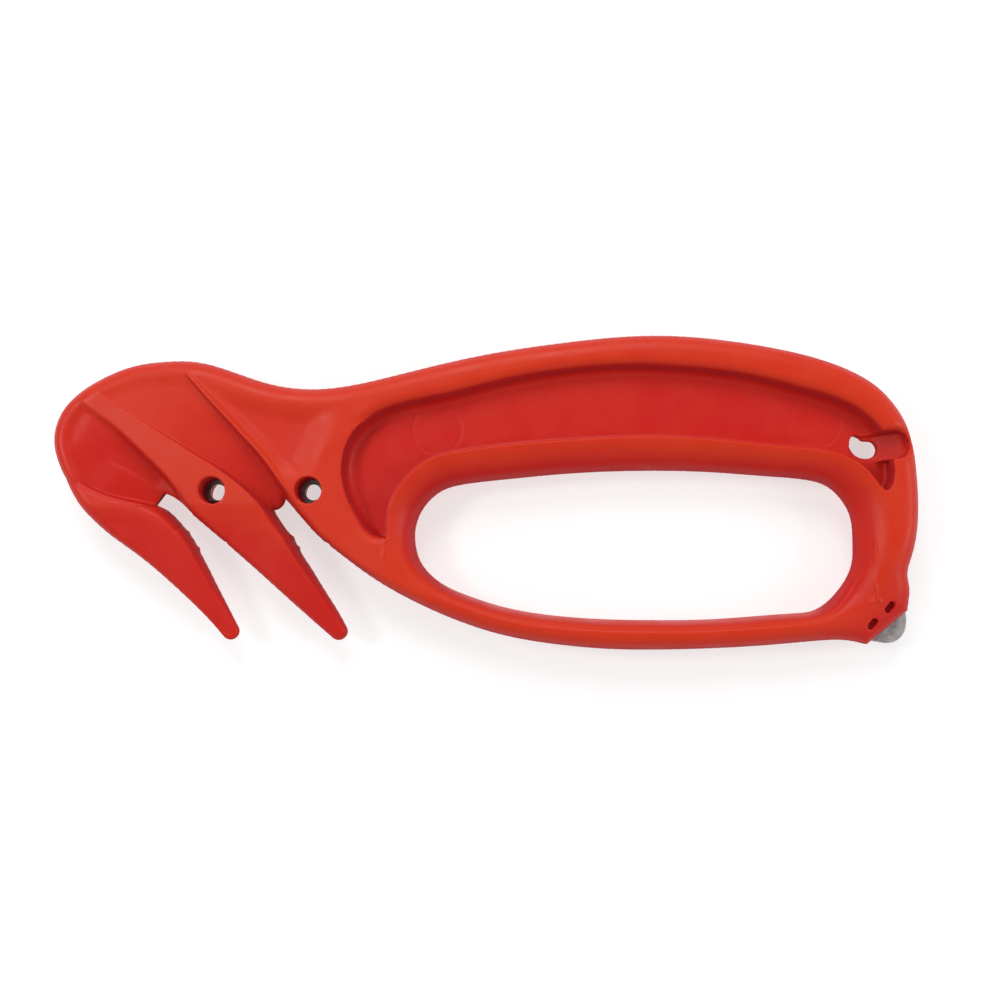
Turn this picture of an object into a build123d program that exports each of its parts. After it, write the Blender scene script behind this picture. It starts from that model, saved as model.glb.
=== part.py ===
"""Moulded safety cutter with a four-finger loop, two hooked blades and a tape splitter.

The cutter lies flat: +X runs to the tail, +Y to the spine, +Z out of the upper face.
The two faces are alike about the mid-plane, where the mould halves part.
Drawing points are measured from the middle of the finger loop, in millimetres.
"""

from build123d import *
import os

# ---------------------------------------------------------------- handle sizes
loop_length = 99.4  # clear length of the finger loop
loop_height = 34.0  # clear height of the finger loop
upper_bar = 29.9  # loop to the crest of the spine
lower_bar = 6.5  # loop to the lowest edge of the handle
tail_bar = 13.8  # loop to the rearmost edge
body_thickness = 13.5  # over both faces
rim_fillet = 2.8  # rounding of the outer edge
loop_fillet = 2.4  # rounding of the finger loop's edge

# ---------------------------------------------------------------- panel between rim and loop
panel_thickness = 3.0  # web left between the two recesses
panel_floor_fillet = 1.0

# ---------------------------------------------------------------- head sizes
pin_setback = 44.4  # loop end to the front pin hole
pin_height = 12.0  # pin holes above the middle of the loop
pin_spacing = 21.5  # front pin hole to rear pin hole
pin_hole_diameter = 6.0
tine_tip_radius = 1.9
tine_tip_thickness = 4.6  # over both faces, at the tips
tine_slope_start = -3.0  # below the front pin hole, where the tines start to thin
throat_web = 2.6  # wall that holds a blade at the end of its slot
scoop_shallow = 0.9  # depth of a scoop where it starts at the rim
scoop_floor_fillet = 0.5

# ---------------------------------------------------------------- steel parts
blade_thickness = 0.6
blade_hole_diameter = 3.6
splitter_thickness = 1.2
splitter_nose_radius = 4.4
half_boss_edge = 4.2  # half thickness of the boss at its outer edge
boss_angle = 40.0  # of the boss's outer edge
boss_relief_length = 26.0
boss_relief_width = 24.0
peg_hole_width = 1.6
peg_hole_length = 2.9
peg_hole_tilt = 52.0

# ---------------------------------------------------------------- lanyard eye
lanyard_length = 13.2
lanyard_height = 6.2
lanyard_tilt = 5.0
lanyard_ramp_rise = 3.6  # height of the ramp's far end over the mid-plane
lanyard_eye_length = 6.4
lanyard_eye_height = 5.2

# ---------------------------------------------------------------- places worked out from the sizes
loop_left = -loop_length / 2
loop_right = loop_length / 2
loop_top = loop_height / 2
loop_bottom = -loop_height / 2
crest = loop_top + upper_bar
keel = loop_bottom - lower_bar
stern = loop_right + tail_bar
half_body = body_thickness / 2
half_panel = panel_thickness / 2
half_throat = throat_web / 2
front_pin = (loop_left - pin_setback, pin_height)
rear_pin = (front_pin[0] + pin_spacing, pin_height)


def head(x: float, y: float) -> tuple[float, float]:
    """Return a point of the head, measured from the front pin hole."""
    return (front_pin[0] + x, front_pin[1] + y)


def bow(x: float, y: float) -> tuple[float, float]:
    """Return a point measured from the front end of the loop and the loop's middle line."""
    return (loop_left + x, y)


def neck(share: float, y: float) -> tuple[float, float]:
    """Return a point at a share of the way from the loop to the rear pin hole."""
    return (loop_left - share * (pin_setback - pin_spacing), y)


def roof(x: float, y: float) -> tuple[float, float]:
    """Return a point measured from the middle of the loop and its top edge."""
    return (x, loop_top + y)


def floor(x: float, y: float) -> tuple[float, float]:
    """Return a point measured from the middle of the loop and its bottom edge."""
    return (x, loop_bottom + y)


def tail(x: float, y: float) -> tuple[float, float]:
    """Return a point measured from the rear end of the loop and the loop's middle line."""
    return (loop_right + x, y)


# ---------------------------------------------------------------- points that more than one outline uses
nose = head(-36.1, 10.8)
tail_side = (stern, 9.0)
boss_corner = tail(11.7, loop_bottom + 2.3)
boss_heel = tail(2.6, loop_bottom - 5.3)
throat_1_front = head(-14.1, -2.9)
throat_1_rear = head(-12.2, -0.2)
throat_2_front = head(12.5, -4.0)
throat_2_rear = head(15.0, -1.3)
tine_root = head(-20.9, -11.9)
tip_1 = head(2.7, -31.4)
tip_2 = head(27.2, -31.5)


def tip_point(centre: tuple[float, float], angle: float) -> tuple[float, float]:
    """Return the point of a tine's rounded end at an angle from +X."""
    reach = Vector(tine_tip_radius, 0).rotate(Axis.Z, angle)
    return (centre[0] + reach.X, centre[1] + reach.Y)


tip_1_out = tip_point(tip_1, 223)
tip_1_in = tip_point(tip_1, 28)
tip_2_out = tip_point(tip_2, 229)
tip_2_in = tip_point(tip_2, 32)

lanyard_middle = tail(4.9, loop_top + 4.9)
eye_middle = tail(2.0, loop_top + 4.7)
ramp_foot = tail(3.6, loop_top + 4.8)
ramp_head = tail(9.8, loop_top + 5.4)
splitter_nose = tail(11.7, loop_bottom - 5.8)
boss_edge_middle = ((boss_corner[0] + boss_heel[0]) / 2, (boss_corner[1] + boss_heel[1]) / 2)
boss_step = tail(-0.6, loop_bottom + 8.6)
boss_relief_middle = tail(9.0, loop_bottom)
peg_holes = [tail(7.1, loop_bottom + 3.0), tail(3.3, loop_bottom - 0.7)]

# ---------------------------------------------------------------- outline of handle and head, without the tines
with BuildSketch() as outline:
    with BuildLine():
        Spline(
            tine_root,
            head(-26.8, -7.1),
            head(-30.6, -2.7),
            head(-33.7, 3.1),
            nose,
            head(-34.5, 17.4),
            head(-32.2, 20.3),
            head(-24.4, 25.6),
            head(-17.8, 28.1),
            head(-10.4, 29.1),
            head(-4.3, 29.0),
            head(2.8, 27.2),
            head(11.7, 24.2),
            head(22.9, 22.9),
            neck(0.345, loop_top + 20.0),
            roof(-43.9, 23.4),
            roof(-30.4, 26.2),
            roof(-16.8, 28.2),
            (5.2, crest),
            roof(17.2, 29.2),
            roof(30.7, 27.2),
            tail(-2.0, loop_top + 22.3),
            tail(4.6, loop_top + 18.4),
            tail(8.1, loop_top + 14.8),
            tail(11.2, loop_top + 9.7),
            tail(13.3, loop_top + 0.3),
            tail_side,
            tail(13.3, loop_bottom + 18.2),
            tail(12.2, loop_bottom + 13.7),
            tail(11.5, loop_bottom + 10.9),
            tail(12.1, loop_bottom + 6.6),
            tail(11.9, loop_bottom + 4.4),
            boss_corner,
        )
        Line(boss_corner, boss_heel)
        Spline(
            boss_heel,
            tail(-5.3, loop_bottom - 4.3),
            tail(-8.7, loop_bottom - 4.5),
            floor(30.8, -5.4),
            floor(17.2, -6.2),
            (4.0, keel),
            floor(-6.6, -6.3),
            floor(-16.8, -5.4),
            floor(-30.4, -3.0),
            bow(10.0, loop_bottom),
            bow(0.7, loop_bottom + 4.1),
            neck(0.297, loop_bottom + 8.2),
            neck(0.559, loop_bottom + 12.3),
            neck(0.764, loop_bottom + 15.9),
            head(24.0, -10.8),
            head(19.7, -6.3),
            throat_2_rear,
        )
        Polyline(throat_2_rear, head(17.0, 4.0), head(-12.0, 5.0), tine_root)
    make_face()

with BuildSketch() as tine_outline:
    with BuildLine():
        Spline(
            tip_1_out,
            head(-3.2, -27.5),
            head(-8.8, -22.0),
            head(-14.9, -16.5),
            tine_root,
        )
        Polyline(tine_root, head(-14.0, 8.0), head(10.0, 9.0), head(20.0, 6.0), throat_2_rear)
        Line(throat_2_rear, tip_2_in)
        ThreePointArc(tip_2_in, tip_point(tip_2, 310), tip_2_out)
        Line(tip_2_out, tip_1_in)
        ThreePointArc(tip_1_in, tip_point(tip_1, 305), tip_1_out)
    make_face()

# The drawing is placed so that the whole plan is centred on the origin.
with BuildSketch() as plan:
    add(outline.sketch)
    add(tine_outline.sketch)
plan_box = plan.sketch.bounding_box()
datum = Plane(origin=(-plan_box.center().X, -plan_box.center().Y, half_body))


def slope(start: tuple[float, float], end: tuple[float, float], start_rise: float, end_rise: float) -> Plane:
    """Return a plane that passes two points at their heights over the mid-plane and is level across."""
    run = Vector(end[0] - start[0], end[1] - start[1])
    across = Vector(-run.Y, run.X)
    along = Vector(run.X, run.Y, end_rise - start_rise)
    origin = datum.from_local_coords(Vector(start[0], start[1], start_rise))
    return Plane(origin=origin, x_dir=along, z_dir=along.cross(across))


# ---------------------------------------------------------------- outlines of the openings
with BuildSketch() as loop_outline:
    with BuildLine():
        Spline(
            (loop_left, 1.5),
            bow(1.0, loop_top - 10.2),
            bow(3.4, loop_top - 6.7),
            bow(6.5, loop_top - 4.4),
            bow(11.7, loop_top - 3.0),
            roof(-30.4, -2.1),
            roof(-16.8, -0.8),
            roof(-6.6, -0.2),
            (4.0, loop_top),
            roof(17.2, -0.3),
            roof(30.8, -1.3),
            tail(-10.4, loop_top - 2.1),
            tail(-6.3, loop_top - 3.3),
            tail(-2.6, loop_top - 6.6),
            tail(-0.7, loop_top - 10.1),
            (loop_right, 0.6),
            tail(-0.2, loop_bottom + 13.0),
            tail(-1.8, loop_bottom + 9.0),
            tail(-3.9, loop_bottom + 6.1),
            tail(-6.3, loop_bottom + 3.7),
            tail(-9.6, loop_bottom + 2.0),
            tail(-12.8, loop_bottom + 1.6),
            floor(27.4, 0.9),
            floor(17.2, 0.2),
            (4.0, loop_bottom),
            floor(-6.6, 0.2),
            floor(-16.8, 0.9),
            floor(-30.4, 3.2),
            bow(12.5, loop_bottom + 5.4),
            bow(6.3, loop_bottom + 8.2),
            bow(3.0, loop_bottom + 10.9),
            bow(1.1, loop_bottom + 13.6),
            periodic=True,
        )
    make_face()

with BuildSketch() as slot_1_outline:
    with BuildLine():
        Spline(
            tip_1_in,
            head(2.1, -26.2),
            head(-0.8, -20.8),
            head(-2.9, -16.7),
            head(-4.9, -13.1),
            head(-6.1, -10.8),
            head(-8.0, -8.4),
            head(-10.8, -5.2),
            throat_1_front,
        )
        Line(throat_1_front, throat_1_rear)
        Spline(
            throat_1_rear,
            head(-11.0, -0.6),
            head(-9.0, -1.8),
            head(-6.5, -4.0),
            head(-1.2, -8.6),
            head(4.0, -13.1),
            head(11.0, -19.4),
            head(17.0, -24.9),
            tip_2_out,
        )
        Line(tip_2_out, head(28.2, -35.5))
        Line(head(28.2, -35.5), head(6.7, -35.5))
        Line(head(6.7, -35.5), tip_1_in)
    make_face()

with BuildSketch() as slot_2_outline:
    with BuildLine():
        Spline(
            tip_2_in,
            head(26.4, -26.2),
            head(22.9, -20.8),
            head(20.3, -16.7),
            head(17.9, -13.1),
            head(16.1, -9.7),
            head(14.3, -7.4),
            throat_2_front,
        )
        ThreePointArc(throat_2_front, head(14.3, -3.1), throat_2_rear)
        Polyline(throat_2_rear, head(25.0, -14.0), tip_2_in)
    make_face()

# ---------------------------------------------------------------- outline of the recess between rim and loop
panel_toe = tail(6.1, loop_top - 5.2)
panel_point = neck(0.240, loop_top - 15.7)
with BuildSketch() as panel_outline:
    with BuildLine():
        Spline(
            panel_point,
            neck(0.358, loop_top - 15.2),
            neck(0.568, loop_top - 9.5),
            neck(0.668, loop_top - 3.3),
            neck(0.677, loop_top + 0.8),
            neck(0.598, loop_top + 6.7),
            neck(0.476, loop_top + 10.0),
            neck(0.279, loop_top + 12.8),
            roof(-42.8, 16.2),
            roof(-29.4, 19.5),
            roof(-16.0, 21.8),
            roof(-0.5, 22.9),
            roof(10.8, 22.4),
            roof(25.2, 20.6),
            tail(-12.6, loop_top + 17.7),
            tail(-5.3, loop_top + 15.5),
            tail(0.2, loop_top + 12.7),
            tail(4.2, loop_top + 9.0),
            tail(6.5, loop_top + 5.1),
            tail(7.4, loop_top + 1.2),
            tail(7.3, loop_top - 3.3),
            panel_toe,
        )
        Spline(
            panel_toe,
            tail(5.1, loop_top - 4.6),
            tail(2.8, loop_top - 1.7),
            tail(-0.6, loop_top + 1.3),
            tail(-5.3, loop_top + 3.3),
            roof(34.7, 4.6),
            roof(15.7, 6.4),
            roof(0.9, 6.9),
            roof(-11.3, 6.4),
            roof(-27.2, 5.2),
            bow(11.2, loop_top + 3.8),
            bow(4.6, loop_top + 2.2),
            bow(-0.9, loop_top - 1.8),
            neck(0.197, loop_top - 7.3),
            neck(0.231, loop_top - 12.6),
            panel_point,
        )
    make_face()

# ---------------------------------------------------------------- outlines of the scoops that lead into the slots
with BuildSketch() as scoop_1_outline:
    with BuildLine():
        Spline(
            head(-10.4, -2.2),
            head(-10.3, 3.6),
            head(-16.3, 9.6),
            head(-21.8, 14.7),
            head(-27.6, 19.0),
            head(-31.8, 16.6),
            head(-33.2, 11.0),
            head(-32.0, 5.6),
            head(-29.0, 2.0),
            head(-24.0, -0.8),
            head(-17.2, -2.5),
            head(-14.4, -3.4),
        )
        Polyline(head(-14.4, -3.4), head(-12.0, -4.6), head(-10.4, -2.2))
    make_face()

with BuildSketch() as scoop_2_outline:
    with BuildLine():
        Spline(
            head(12.2, -4.6),
            head(10.2, -3.4),
            head(5.6, 2.2),
            head(1.0, 5.4),
            head(-8.5, 11.6),
            head(-14.5, 16.3),
            head(-24.6, 22.2),
        )
        Spline(
            head(-24.6, 22.2),
            head(-18.5, 25.4),
            head(-12.5, 26.9),
            head(-6.6, 26.9),
        )
        Spline(
            head(-6.6, 26.9),
            head(-3.6, 22.2),
            head(1.0, 17.3),
            head(5.6, 12.2),
            head(10.3, 6.8),
            head(14.6, 1.4),
            head(15.2, -1.4),
        )
        Polyline(head(15.2, -1.4), head(14.6, -5.0), head(12.2, -4.6))
    make_face()

# ---------------------------------------------------------------- outlines of the steel parts
with BuildSketch() as front_blade_outline:
    with BuildLine():
        Polyline(
            head(-15.6, -5.1),
            head(-8.9, 4.5),
            head(-3.4, 6.0),
            head(3.3, 3.3),
            head(3.3, -2.7),
            head(-3.4, -2.7),
            head(-10.6, 1.3),
            close=True,
        )
    make_face()

with BuildSketch() as rear_blade_outline:
    with BuildLine():
        Polyline(
            throat_2_front,
            head(9.6, -1.4),
            head(12.2, 5.4),
            head(20.4, 5.0),
            head(24.8, 2.6),
            head(24.8, -3.2),
            head(20.6, -3.4),
            throat_2_rear,
        )
        ThreePointArc(throat_2_rear, head(14.3, -3.1), throat_2_front)
    make_face()

with BuildSketch() as splitter_outline:
    with BuildLine():
        Polyline(
            splitter_nose,
            tail(12.0, loop_bottom + 0.9),
            tail(10.4, loop_bottom + 9.4),
            tail(-4.4, loop_bottom + 0.6),
            tail(3.0, loop_bottom - 4.5),
            close=True,
        )
    make_face()
    fillet(splitter_outline.vertices().sort_by_distance(splitter_nose)[0], radius=splitter_nose_radius)


def cut_both_faces(cutter: Part) -> None:
    """Take a cutter, and its mirror image, out of the part that is being built."""
    add(cutter, mode=Mode.SUBTRACT)
    add(mirror(cutter, about=datum, mode=Mode.PRIVATE), mode=Mode.SUBTRACT)


# ---------------------------------------------------------------- cutters
half_tip = tine_tip_thickness / 2
upper_slope = slope(head(0.0, tine_slope_start), head(0.0, tip_1[1] - front_pin[1]), half_body, half_tip)
lower_slope = slope(head(0.0, tine_slope_start), head(0.0, tip_1[1] - front_pin[1]), -half_body, -half_tip)

with BuildPart() as scoop_1:
    with BuildSketch(datum):
        add(scoop_1_outline.sketch)
    extrude(amount=body_thickness)
    split(bisect_by=slope(head(-31.0, 10.4), head(-13.2, -1.6), half_body - scoop_shallow, half_throat))
    fillet(scoop_1.faces().sort_by(Axis.Z)[0].edges(), radius=scoop_floor_fillet)

with BuildPart() as scoop_2:
    with BuildSketch(datum):
        add(scoop_2_outline.sketch)
    extrude(amount=body_thickness)
    split(bisect_by=slope(head(-16.0, 26.0), head(13.7, -2.6), half_body - scoop_shallow, half_throat))
    fillet(scoop_2.faces().sort_by(Axis.Z)[0].edges(), radius=scoop_floor_fillet)

with BuildPart() as panel_recess:
    with BuildSketch(datum.offset(half_panel)):
        add(panel_outline.sketch)
    extrude(amount=body_thickness)
    fillet(panel_recess.faces().sort_by(Axis.Z)[0].edges(), radius=panel_floor_fillet)

with BuildPart() as lanyard_slot:
    with BuildSketch(datum):
        with Locations(lanyard_middle):
            SlotOverall(lanyard_length, lanyard_height, rotation=lanyard_tilt)
    extrude(amount=body_thickness)
    split(bisect_by=slope(ramp_foot, ramp_head, half_panel, lanyard_ramp_rise))

with BuildPart() as boss_relief:
    with BuildSketch(datum):
        with Locations(boss_relief_middle):
            Rectangle(boss_relief_length, boss_relief_width, rotation=boss_angle)
    extrude(amount=body_thickness)
    split(bisect_by=slope(boss_step, boss_edge_middle, half_body, half_boss_edge))

with BuildPart() as tines:
    with BuildSketch(datum):
        add(tine_outline.sketch)
    extrude(amount=half_body, both=True)
    split(bisect_by=upper_slope, keep=Keep.BOTTOM)
    split(bisect_by=lower_slope, keep=Keep.TOP)

# ---------------------------------------------------------------- the steel parts themselves
with BuildPart() as front_hook_blade:
    with BuildSketch(datum):
        add(front_blade_outline.sketch)
        with Locations(front_pin):
            Circle(blade_hole_diameter / 2, mode=Mode.SUBTRACT)
    extrude(amount=blade_thickness / 2, both=True)

with BuildPart() as rear_hook_blade:
    with BuildSketch(datum):
        add(rear_blade_outline.sketch)
        with Locations(rear_pin):
            Circle(blade_hole_diameter / 2, mode=Mode.SUBTRACT)
    extrude(amount=blade_thickness / 2, both=True)

with BuildPart() as tape_splitter:
    with BuildSketch(datum):
        add(splitter_outline.sketch)
    extrude(amount=splitter_thickness / 2, both=True)

# ---------------------------------------------------------------- the moulding
with BuildPart() as moulded_body:
    with BuildSketch(datum):
        add(outline.sketch)
    extrude(amount=half_body, both=True)
    rim = moulded_body.edges().filter_by(GeomType.BSPLINE)
    fillet(rim.group_by(Axis.Z)[-1] + rim.group_by(Axis.Z)[0], radius=rim_fillet)
    with BuildSketch(datum):
        add(loop_outline.sketch)
    extrude(amount=half_body, both=True, mode=Mode.SUBTRACT)
    loop_perimeter = loop_outline.sketch.edge().length
    loop_edges = moulded_body.edges().filter_by(lambda edge: abs(edge.length - loop_perimeter) < 0.01)
    fillet(loop_edges.group_by(Axis.Z)[-1] + loop_edges.group_by(Axis.Z)[0], radius=loop_fillet)
    cut_both_faces(panel_recess.part)
    cut_both_faces(boss_relief.part)
    cut_both_faces(lanyard_slot.part)
    add(tines.part)
    with BuildSketch(datum):
        add(slot_1_outline.sketch)
        add(slot_2_outline.sketch)
        with Locations(front_pin, rear_pin):
            Circle(pin_hole_diameter / 2)
        with Locations(eye_middle):
            SlotOverall(lanyard_eye_length, lanyard_eye_height)
    extrude(amount=half_body, both=True, mode=Mode.SUBTRACT)
    with BuildSketch(datum):
        with Locations(*peg_holes):
            SlotOverall(peg_hole_length, peg_hole_width, rotation=peg_hole_tilt)
    extrude(amount=half_body, both=True, mode=Mode.SUBTRACT)
    cut_both_faces(scoop_1.part)
    cut_both_faces(scoop_2.part)
    for steel in (front_hook_blade, rear_hook_blade, tape_splitter):
        add(steel.part, mode=Mode.SUBTRACT)

os.makedirs("parts", exist_ok=True)
pieces = {
    "moulded_body": moulded_body,
    "front_hook_blade": front_hook_blade,
    "rear_hook_blade": rear_hook_blade,
    "tape_splitter": tape_splitter,
}
for name, piece in pieces.items():
    piece.part.label = name
    export_step(piece.part, f"parts/{name}.step")
    box = piece.part.bounding_box()
    print(name, len(piece.solids()), piece.part.is_valid, round(piece.part.volume, 1), box.min, box.max)
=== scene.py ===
"""Looks of a flat hook cutter with a finger loop: moulded body, two hooked blades and a tape splitter.

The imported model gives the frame. The body's outlines are cut from its CAD node at a level
just above the mid-plane, and its rounded, scooped faces are then laid over them.
Lengths are in millimetres until a mesh is made, which is in metres.
"""

from __future__ import annotations

import logging
import math
from dataclasses import dataclass, field
from enum import Enum
from typing import Callable, Iterable, Sequence

import bmesh
import bpy
import numpy as np
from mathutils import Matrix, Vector
from mathutils.geometry import delaunay_2d_cdt
from mathutils.kdtree import KDTree


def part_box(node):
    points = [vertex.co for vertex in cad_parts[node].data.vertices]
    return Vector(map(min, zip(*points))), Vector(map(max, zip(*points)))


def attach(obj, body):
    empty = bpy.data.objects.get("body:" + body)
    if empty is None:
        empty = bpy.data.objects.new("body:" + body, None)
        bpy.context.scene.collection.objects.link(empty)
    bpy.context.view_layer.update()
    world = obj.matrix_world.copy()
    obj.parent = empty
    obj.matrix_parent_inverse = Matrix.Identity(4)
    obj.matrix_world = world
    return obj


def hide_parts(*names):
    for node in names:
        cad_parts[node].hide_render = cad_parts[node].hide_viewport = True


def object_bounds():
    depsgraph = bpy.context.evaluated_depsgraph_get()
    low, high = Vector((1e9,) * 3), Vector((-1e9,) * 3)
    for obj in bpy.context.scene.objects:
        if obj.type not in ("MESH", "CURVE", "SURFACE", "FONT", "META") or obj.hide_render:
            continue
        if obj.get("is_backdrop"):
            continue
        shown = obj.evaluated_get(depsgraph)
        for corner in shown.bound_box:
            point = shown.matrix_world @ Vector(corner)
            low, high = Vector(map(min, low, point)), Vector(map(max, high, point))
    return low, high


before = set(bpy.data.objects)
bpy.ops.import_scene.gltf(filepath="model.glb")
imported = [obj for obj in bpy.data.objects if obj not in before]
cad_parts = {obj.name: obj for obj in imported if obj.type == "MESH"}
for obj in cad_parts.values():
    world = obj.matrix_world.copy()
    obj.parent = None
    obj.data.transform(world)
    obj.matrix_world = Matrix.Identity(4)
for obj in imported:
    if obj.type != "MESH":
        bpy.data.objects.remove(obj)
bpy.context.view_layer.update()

log = logging.getLogger("hook_cutter")
MM = 0.001
Point = tuple[float, float]


# ------------------------------------------------------------------------------------ small curves
def ease(low: float, high: float, value: np.ndarray) -> np.ndarray:
    """Return a smooth step from 0 to 1.

    Args:
        low: Value where the step starts.
        high: Value where the step ends, which may be below low.
        value: Values to ease.

    Returns:
        The eased values, 0 before low and 1 after high.
    """
    t = np.clip((value - low) / (high - low), 0.0, 1.0)
    return t * t * (3.0 - 2.0 * t)


def bell(value: np.ndarray, width: float) -> np.ndarray:
    """Return a bell curve of height 1 and the given half width."""
    return np.exp(-((value / width) ** 2))


def quarter(value: np.ndarray) -> np.ndarray:
    """Return a quarter circle's rise from 0 to 1."""
    t = np.clip(value, 0.0, 1.0)
    return np.sqrt(1.0 - (1.0 - t) ** 2)


def lower_of(first: np.ndarray, second: np.ndarray, blend: float) -> np.ndarray:
    """Return the lower of two surfaces, with the crease between them rounded.

    Args:
        first: Heights of the first surface.
        second: Heights of the second surface.
        blend: Height difference over which they blend.

    Returns:
        The blended heights.
    """
    h = np.clip(0.5 + 0.5 * (second - first) / blend, 0.0, 1.0)
    return second + (first - second) * h - blend * h * (1.0 - h)


def smooth_line(points: Sequence[Point], steps: int = 12) -> np.ndarray:
    """Return a Catmull-Rom curve through points.

    Args:
        points: Points that the curve passes.
        steps: Pieces between two points.

    Returns:
        The curve's points as an array of rows.
    """
    p = np.array(points, float)
    padded = np.vstack([2 * p[0] - p[1], p, 2 * p[-1] - p[-2]])
    rows: list[np.ndarray] = []
    for i in range(len(p) - 1):
        a, b, c, d = padded[i : i + 4]
        for t in np.linspace(0.0, 1.0, steps, endpoint=False):
            rows.append(
                0.5 * (2 * b + (c - a) * t + (2 * a - 5 * b + 4 * c - d) * t**2 + (3 * b - a - 3 * c + d) * t**3)
            )
    rows.append(p[-1])
    return np.array(rows)


@dataclass
class Crease:
    """An open curve on a face, such as the crest of a ridge.

    Args:
        line: The curve's points, from its start to its end.
    """

    line: np.ndarray

    @classmethod
    def through(cls, points: Sequence[Point]) -> "Crease":
        """Return the smooth crease through a few points."""
        return cls(smooth_line(points))

    def measure(self, points: np.ndarray) -> tuple[np.ndarray, np.ndarray]:
        """Measure points against the crease, with its ends carried on straight.

        Args:
            points: Rows of x and y.

        Returns:
            The signed distance, positive on the left of the way along, and the share of the length passed.
        """
        line = self.line.copy()
        head = line[0] + (line[0] - line[1]) / np.linalg.norm(line[0] - line[1]) * 60.0
        tail = line[-1] + (line[-1] - line[-2]) / np.linalg.norm(line[-1] - line[-2]) * 60.0
        line = np.vstack([head, line, tail])
        step = np.diff(line, axis=0)
        length = np.linalg.norm(step, axis=1)
        start = np.concatenate([[0.0], np.cumsum(length)])[:-1]
        best = np.full(len(points), np.inf)
        signed = np.zeros(len(points))
        along = np.zeros(len(points))
        for i in range(len(step)):
            offset = points - line[i]
            t = np.clip(offset @ step[i] / length[i] ** 2, 0.0, 1.0)
            gap = np.linalg.norm(offset - t[:, None] * step[i], axis=1)
            closer = gap < best
            best = np.where(closer, gap, best)
            cross = step[i][0] * offset[:, 1] - step[i][1] * offset[:, 0]
            signed = np.where(closer, np.where(cross >= 0, gap, -gap), signed)
            along = np.where(closer, start[i] + t * length[i], along)
        whole = length[1:-1].sum()
        return signed, (along - length[0]) / whole

    def beside(self, offsets: Iterable[float], spacing: float) -> np.ndarray:
        """Return rows of points beside the crease.

        Args:
            offsets: Distances to the left of the crease.
            spacing: Distance between points along a row.

        Returns:
            The points of all rows.
        """
        length = np.concatenate([[0.0], np.cumsum(np.linalg.norm(np.diff(self.line, axis=0), axis=1))])
        at = np.linspace(0.0, length[-1], max(2, int(length[-1] / spacing)))
        on = np.column_stack([np.interp(at, length, self.line[:, k]) for k in (0, 1)])
        way = np.gradient(on, axis=0)
        way /= np.linalg.norm(way, axis=1)[:, None]
        left = np.column_stack([-way[:, 1], way[:, 0]])
        return np.vstack([on + left * offset for offset in offsets])


class Turn(Enum):
    """Which side of a contour its solid lies on."""

    SOLID_INSIDE = 1
    SOLID_OUTSIDE = -1


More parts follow.
